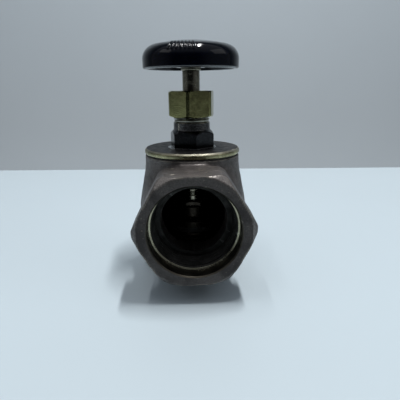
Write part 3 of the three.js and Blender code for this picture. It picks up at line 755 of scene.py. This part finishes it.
def build_handwheel():
    around = 900
    theta = angles(around)
    centre_r, centre_z = WHEEL_R - SHOULDER_R, CROWN_Z - CROWN_FALL - SHOULDER_R
    arc = np.linspace(0, TAU / 4, 26)
    shoulder = np.stack([centre_r + SHOULDER_R * np.cos(arc), centre_z + SHOULDER_R * np.sin(arc)], axis=1)
    across = np.linspace(centre_r, 8.9, 18)[1:]
    rise = (centre_r - across) / (centre_r - 8.3)
    crown = np.stack([across, CROWN_Z - CROWN_FALL + CROWN_FALL * np.sin(rise * TAU / 4)], axis=1)
    top = np.concatenate([shoulder, crown])
    # Ridges stand along the surface's own normal, in groups, across part of the shoulder.
    apart = TAU / RIDGE_GROUPS
    offset = np.mod(theta + TAU / 4 - RIDGE_TURN * DEG + apart / 2, apart) - apart / 2
    steps = offset / (RIDGE_STEP * DEG)
    tooth = np.clip(0.55 + 0.75 * np.cos(TAU * steps), 0, 1) * (np.abs(steps) < RIDGES_PER_GROUP / 2)
    reach = smoothstep(18.2, 19.0, top[:, 0]) * (1 - smoothstep(22.9, 23.5, top[:, 0]))
    normal = np.gradient(top, axis=0)
    normal = np.stack([normal[:, 1], -normal[:, 0]], axis=1)
    normal /= np.linalg.norm(normal, axis=1)[:, None]
    lift = RIDGE_LIFT * reach[:, None] * tooth[None, :]
    radius = top[:, :1] + normal[:, :1] * lift
    height = top[:, 1:] + normal[:, 1:] * lift
    crown_rows = np.stack([radius * np.cos(theta), radius * np.sin(theta), height], axis=2)
    wall = soften([
        [5.3, 70.6], [7.2, 70.6], [8.0, 73.0], [8.6, 78.3], [17.7, 78.3], [20.6, 76.0], [21.2, 70.6],
        [21.7, 69.9], [23.45, 69.9], [24.0, 70.5], [24.04, 74.2],
    ], 0.25)
    pocket = soften([[8.6, 82.66], [7.7, 82.4], [7.6, 81.8], [7.6, 78.4], [5.3, 78.4], [5.3, 74.0]], 0.25)
    rows = np.concatenate([
        rows_from(wall[:, :1], wall[:, 1], theta), crown_rows,
        rows_from(pocket[:, :1], pocket[:, 1], theta),
    ])
    wheel = new_object("handwheel_moulding", *surface(rows))
    ribs = []
    for i in range(6):
        turn = i * TAU / 6
        section = np.array([[-0.9, 79.3], [-0.9, 75.2], [-0.7, 74.7], [0, 74.55],
                            [0.7, 74.7], [0.9, 75.2], [0.9, 79.3]])
        near = np.stack([np.full(7, 7.6), section[:, 0], section[:, 1]], axis=1)
        far = np.stack([np.full(7, 22.0), section[:, 0], section[:, 1]], axis=1)
        verts = np.vstack([near, far])
        faces = [[a, (a + 1) % 7, 7 + (a + 1) % 7, 7 + a] for a in range(7)]
        faces += [list(range(7))[::-1], list(range(7, 14))]
        c, s = math.cos(turn), math.sin(turn)
        rotate = np.array([[c, s, 0], [-s, c, 0], [0, 0, 1]])
        ribs.append(new_object(f"rib_{i}", verts @ rotate, faces))
    combine(wheel, ribs, "UNION")

    # Rim underside faces, which get the rubbed resin with painted sheen.
    def on_lip(centres, normals):
        radius = np.hypot(centres[:, 0], centres[:, 1])
        return (radius > 21.6) & (centres[:, 2] < 70.7)

    finish_piece(wheel, STEM, ["handwheel"], [RESIN, RESIN_LIP_WORN_AND_SHEEN], on_lip, sharp=40)


build_handwheel()


def build_hub_parts():
    insert = turned("hub_insert_bush", [
        [0, 69.2], [4.7, 69.2], [5.0, 69.5], [5.0, 78.4], [0, 78.4],
    ], 0.15, 96)
    corner = np.arange(96) / 96 * TAU
    side = 3.4 / np.maximum(np.abs(np.cos(corner)), np.abs(np.sin(corner)))
    outline = soft_min(side, np.full(96, 4.75), 0.2)
    square_rows = rows_from(outline[None, :] + np.zeros((2, 1)), [68.5, 79], corner)
    square = new_object("square_hole", *surface(square_rows, [0, 0, 68.5], [0, 0, 79.0]))
    step = turned("step_hole", [[0, 68.5], [4.7, 68.5], [4.7, 69.9], [0, 69.9]], 0.05, 96)
    combine(insert, [square, step], "DIFFERENCE")
    finish_piece(insert, STEM, ["hub_insert"], [COLLAR_BRASS])

    around = 72
    sweep = np.linspace(6 * DEG, TAU - 6 * DEG, around)
    spread = 0.16 * (sweep / TAU - 0.5)
    low, high = 78.48, 79.12
    section = [[2.45, low], [5.1, low], [5.1, high], [2.45, high]]
    verts = np.concatenate([
        np.stack([r * np.cos(sweep), r * np.sin(sweep), z + spread * 0.2], axis=1) for r, z in section
    ])
    faces = []
    for a in range(4):
        b = (a + 1) % 4
        faces += [[a * around + i, a * around + i + 1, b * around + i + 1, b * around + i]
                  for i in range(around - 1)]
    faces += [[0, around, 2 * around, 3 * around][::-1],
              [around - 1, 2 * around - 1, 3 * around - 1, 4 * around - 1]]
    washer = new_object("spring_washer_split", verts, faces)
    finish_piece(washer, STEM, ["spring_washer"], [ZINC])

    screw = turned("handwheel_screw_slotted", [
        [0, 71], [1.9, 71], [1.9, 79.2], [4.3, 79.2], [4.3, 80.5], [3.6, 81.4], [2, 81.8], [0, 81.9],
    ], 0.2, 96)
    slot_verts = [[x, y, z] for x in (-6, 6) for y in (-0.55, 0.55) for z in (80.7, 83)]
    combine(screw, [new_object("slot", np.array(slot_verts), BOX_FACES)], "DIFFERENCE")
    finish_piece(screw, STEM, ["handwheel_screw"], [ZINC])


build_hub_parts()

# ------------------------------------------------------------------ seat and needle
def build_trim():
    seat = turned("seat_ring_turned", [
        [9.8, -20.6], [13.9, -20.6], [14.5, -20.0], [14.5, -16.15], [16.6, -16.15], [16.6, -14.7],
        [12.4, -14.7], [11.8, -13.6], [10.4, -13.6], [9.8, -14.2],
    ], 0.15)
    slot_verts = np.array([[x, y, z] for x in (-11.4, 11.4) for y in (-1.5, 1.5) for z in (-21.6, -18.4)])
    combine(seat, [new_object("key_slot", slot_verts, BOX_FACES)], "DIFFERENCE")
    finish_piece(seat, ROOT, ["seat_ring"], [SHADED_BRONZE])

    theta = angles(240)
    hexagon = hex_radius(theta, 13, 30)[None, :]
    outside = refine(np.array([[8.1, 0.05], [8.1, 1.3], [6.2, 2.4]]), 0.2)
    inside = soften([[6.1, 2.4], [4.8, 2.4], [4.5, 2.1], [4.5, -3.0], [6.4, -3.0], [6.6, -2.8],
                     [6.6, 0.05], [6.7, 0.05]], 0.1)
    rows = np.concatenate([
        rows_from(soft_min(outside[:, :1] + 0 * theta, hexagon, 0.2), outside[:, 1], theta),
        rows_from(inside[:, :1], inside[:, 1], theta),
    ])
    nut = new_object("swivel_nut_hex", *surface(rows))
    finish_piece(nut, NEEDLE, ["swivel_nut"], [SHADED_BRONZE])

    holder = turned("disc_holder_turned", [
        [0, -19.4], [4.0, -19.4], [4.6, -18.8], [4.6, -10.5], [12.5, -10.5], [12.5, -7.3], [11.7, -6.5],
        [9.4, -6.5], [8.4, -5.5], [8.4, -0.4], [8.0, 0], [6.9, 0], [6.9, -6.0], [0, -6.0],
    ], 0.2)
    finish_piece(holder, NEEDLE, ["disc_holder"], [SHADED_BRONZE])

    disc = turned("seal_disc_composition", [[4.9, -13.3], [12, -13.3], [12, -10.55], [4.9, -10.55]], 0.2)
    finish_piece(disc, NEEDLE, ["seal_disc"], [COMPOSITION])

    along = np.linspace(0, 1, 24)
    nose = np.stack([2.6 + 6.6 * np.sqrt(along), -24.5 + 10.35 * along], axis=1)
    needle = turned("needle_nose", [
        [0, -24.5], *nose.tolist(), [9.2, -13.4], [4.9, -13.4], [4.9, -20.0], [0, -20.0],
    ], 0.12)
    finish_piece(needle, NEEDLE, ["needle"], [SHADED_BRONZE])


build_trim()


# ------------------------------------------------------------------ CAD pieces that stay
def dress(node, material):
    """A CAD piece keeps its own shape and gets a finish and smooth shading."""
    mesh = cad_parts[node].data
    mesh.materials.clear()
    mesh.materials.append(material)
    mesh.polygons.foreach_set("material_index", np.zeros(len(mesh.polygons), np.int32))
    mesh.polygons.foreach_set("use_smooth", np.ones(len(mesh.polygons), bool))
    mesh.set_sharp_from_angle(angle=35 * DEG)


dress("bonnet_gasket", GASKET)
dress("packing_washer", SEAT_METAL)
dress("gland", SEAT_METAL)
for ring_number in range(1, 5):
    dress(f"packing_ring_{ring_number}", PACKING)


# ------------------------------------------------------------------ room, lights and camera
def plain_surface(name, color, rough):
    s = Shader(name)
    shade = s.mix(s.ramp(s.noise(6, 3), 0.3, 0.7, 0.0, 0.3), color, tuple(c * 0.96 for c in color))
    return s.set(color=shade, rough=rough, specular=0.25)


def panel(name, corners, material):
    mesh = bpy.data.meshes.new(name)
    mesh.from_pydata(corners, [], [list(range(len(corners)))])
    obj = bpy.data.objects.new(name, mesh)
    mesh.materials.append(material)
    bpy.context.scene.collection.objects.link(obj)


TABLE_FRONT, TABLE_SIDE = -0.33, 1.1
TABLE_BACK_LEFT, TABLE_BACK_RIGHT = 0.306, 0.218  # its far edge looks level from the camera
panel("table", [(-TABLE_SIDE, TABLE_FRONT, 0), (TABLE_SIDE, TABLE_FRONT, 0),
                (TABLE_SIDE, TABLE_BACK_RIGHT, 0), (-TABLE_SIDE, TABLE_BACK_LEFT, 0)],
      plain_surface("table_top", (0.575, 0.665, 0.715), 0.45))
panel("wall", [(-4, 0.9, -2), (4, 0.9, -2), (4, 0.9, 3), (-4, 0.9, 3)],
      plain_surface("wall_paint", (0.57, 0.64, 0.69), 0.8))


def area_light(name, place, target, size, energy, color=(1, 1, 1)):
    light = bpy.data.lights.new(name, "AREA")
    light.shape = "RECTANGLE"
    light.size, light.size_y = size
    light.energy = energy
    light.color = color
    obj = bpy.data.objects.new(name, light)
    obj.location = place
    obj.rotation_euler = (Vector(target) - Vector(place)).to_track_quat("-Z", "Y").to_euler()
    bpy.context.scene.collection.objects.link(obj)


area_light("ceiling_row", (0.28, 0.0, 1.5), (0, -0.02, 0.05), (0.55, 0.06), 16.5)
area_light("ceiling_left", (-0.30, 0.0, 1.5), (0, -0.02, 0.05), (0.84, 0.02), 3.6)
area_light("soft_left", (-1.4, -0.5, 1.3), (0, 0, 0.06), (0.9, 0.6), 1.2)
area_light("soft_right", (1.5, -0.4, 1.1), (0, 0, 0.06), (1.1, 0.8), 1.6)
area_light("wall_wash", (0, 0.42, -0.7), (0, 0.9, 0.0), (2.4, 0.1), 5)

world = bpy.data.worlds.new("room")
bpy.context.scene.world = world
world.use_nodes = True


def room_light():
    """A room that is dark on the camera's side, brighter overhead and grey at the sides."""
    nodes, links = world.node_tree.nodes, world.node_tree.links
    background = nodes["Background"]
    direction = nodes.new("ShaderNodeTexCoord").outputs["Generated"]
    split = nodes.new("ShaderNodeSeparateXYZ")
    links.new(direction, split.inputs[0])

    def spread(value, low, high, top):
        made = nodes.new("ShaderNodeMapRange")
        made.interpolation_type = "SMOOTHSTEP"
        links.new(value, made.inputs["Value"])
        for key, number in (("From Min", low), ("From Max", high), ("To Min", 0.0), ("To Max", top)):
            made.inputs[key].default_value = number
        return made.outputs["Result"]

    def combined(operation, a, b):
        made = nodes.new("ShaderNodeMath")
        made.operation = operation
        for socket, value in zip(made.inputs, (a, b)):
            if isinstance(value, bpy.types.NodeSocket):
                links.new(value, socket)
            else:
                socket.default_value = value
        return made.outputs[0]

    right = spread(split.outputs["X"], 0.25, 0.85, 0.12)
    left = spread(split.outputs["X"], -0.60, -1.0, 0.12)
    above = spread(split.outputs["Z"], 0.30, 1.0, 0.40)
    behind = spread(split.outputs["Y"], 0.0, 0.8, 0.15)
    sides = combined("ADD", left, right)
    light = combined("ADD", combined("ADD", sides, above), combined("ADD", behind, 0.012))
    links.new(light, background.inputs["Strength"])
    background.inputs["Color"].default_value = (0.83, 0.88, 0.97, 1)


room_light()

camera_data = bpy.data.cameras.new("camera")
camera_data.sensor_width = 36
camera_data.lens = 34.2  # both in mm
camera_data.clip_start = 0.01
camera = bpy.data.objects.new("camera", camera_data)
bpy.context.scene.collection.objects.link(camera)
CAMERA_PLACE = ORIGIN + np.array([-2.4, -201.6, 62.05]) * MM
PITCH, YAW, ROLL = 16.78 * DEG, 1.8 * DEG, -0.56 * DEG
forward = Vector((math.sin(YAW) * math.cos(PITCH), math.cos(YAW) * math.cos(PITCH), -math.sin(PITCH)))
aim = forward.to_track_quat("-Z", "Y").to_matrix().to_4x4()
camera.matrix_world = Matrix.Translation(CAMERA_PLACE) @ aim @ Matrix.Rotation(ROLL, 4, "Z")
bpy.context.scene.camera = camera
bpy.context.scene.view_settings.view_transform = "Standard"
